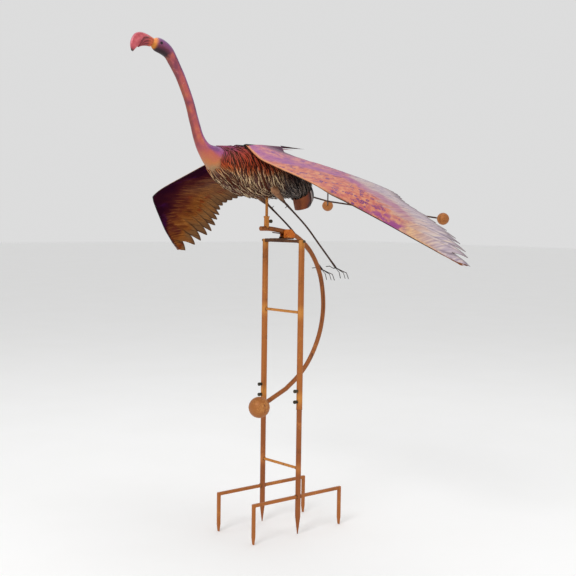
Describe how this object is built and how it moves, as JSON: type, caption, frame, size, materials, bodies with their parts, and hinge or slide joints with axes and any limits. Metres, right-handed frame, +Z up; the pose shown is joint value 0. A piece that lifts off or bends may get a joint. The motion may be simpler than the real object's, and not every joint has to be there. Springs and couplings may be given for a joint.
{
  "type": "kinetic flamingo garden stake",
  "caption": "Sheet metal flamingo with spread wings, balanced on a rocking arm over a forked garden stake, with wings that flap on hinges against balls behind the tail",
  "frame": {"origin": "on the ground line at the underside of the two base bars, midway between the two posts; the prongs and spikes reach below it", "axes": "+Z up, the bird's head points to -Y, the wings lie along X with the bird's left wing on +X"},
  "size_m": [1.6904, 1.282, 1.8785],
  "materials": {
    "rust": "rusty orange-brown paint, satin",
    "orange": "orange paint, satin",
    "feather": "mottled tan, red and plum paint",
    "pink": "mottled pink paint, satin",
    "beak": "pink-red paint with a dark tip",
    "dark": "dark brown paint",
    "rubber": "black"
  },
  "bodies": {
    "stand": {"left_upper_post": "rust", "right_upper_post": "rust", "left_lower_post": "rust", "right_lower_post": "rust", "left_clamp_screw_1": "dark", "left_clamp_screw_2": "dark", "right_clamp_screw_1": "dark", "right_clamp_screw_2": "dark", "left_rail_bolt": "dark", "right_rail_bolt": "dark", "low_rung": "rust", "mid_rung": "rust", "top_rail": "rust", "left_front_foot": "rust", "left_rear_foot": "rust", "right_front_foot": "rust", "right_rear_foot": "rust", "bracket": "orange", "pivot_bolt": "dark", "pivot_nut": "dark", "stop_bumper": "rubber"},
    "rocker": {"arm": "rust", "pivot_hub": "rust", "stop_pin": "dark", "counterweight_ball": "rust", "sleeve": "rust", "sleeve_screw": "dark", "bird_post": "orange", "bird_shell": "feather", "beak": "beak", "left_leg": "dark", "right_leg": "dark", "left_toes": "dark", "right_toes": "dark", "left_hinge": "rust", "right_hinge": "rust"},
    "left_wing_body": {"left_wing": "pink", "left_wing_knuckle": "rust", "left_weight_rod": "rust", "left_weight": "rust"},
    "right_wing_body": {"right_wing": "pink", "right_wing_knuckle": "rust", "right_weight_rod": "rust", "right_weight": "rust"}
  },
  "joints": [
    {"name": "rocker_pivot", "type": "hinge", "parent": "stand", "child": "rocker", "pos_m": [0, 0.007, 1.0255], "axis": [1, 0, 0], "range_deg": [-15, 15]},
    {"name": "left_wing_hinge", "type": "hinge", "parent": "rocker", "child": "left_wing_body", "pos_m": [0.03, -0.134, 1.366], "axis": [0, -1, 0], "range_deg": [0, 25]},
    {"name": "right_wing_hinge", "type": "hinge", "parent": "rocker", "child": "right_wing_body", "pos_m": [-0.03, -0.134, 1.366], "axis": [0, 1, 0], "range_deg": [0, 25]}
  ]
}
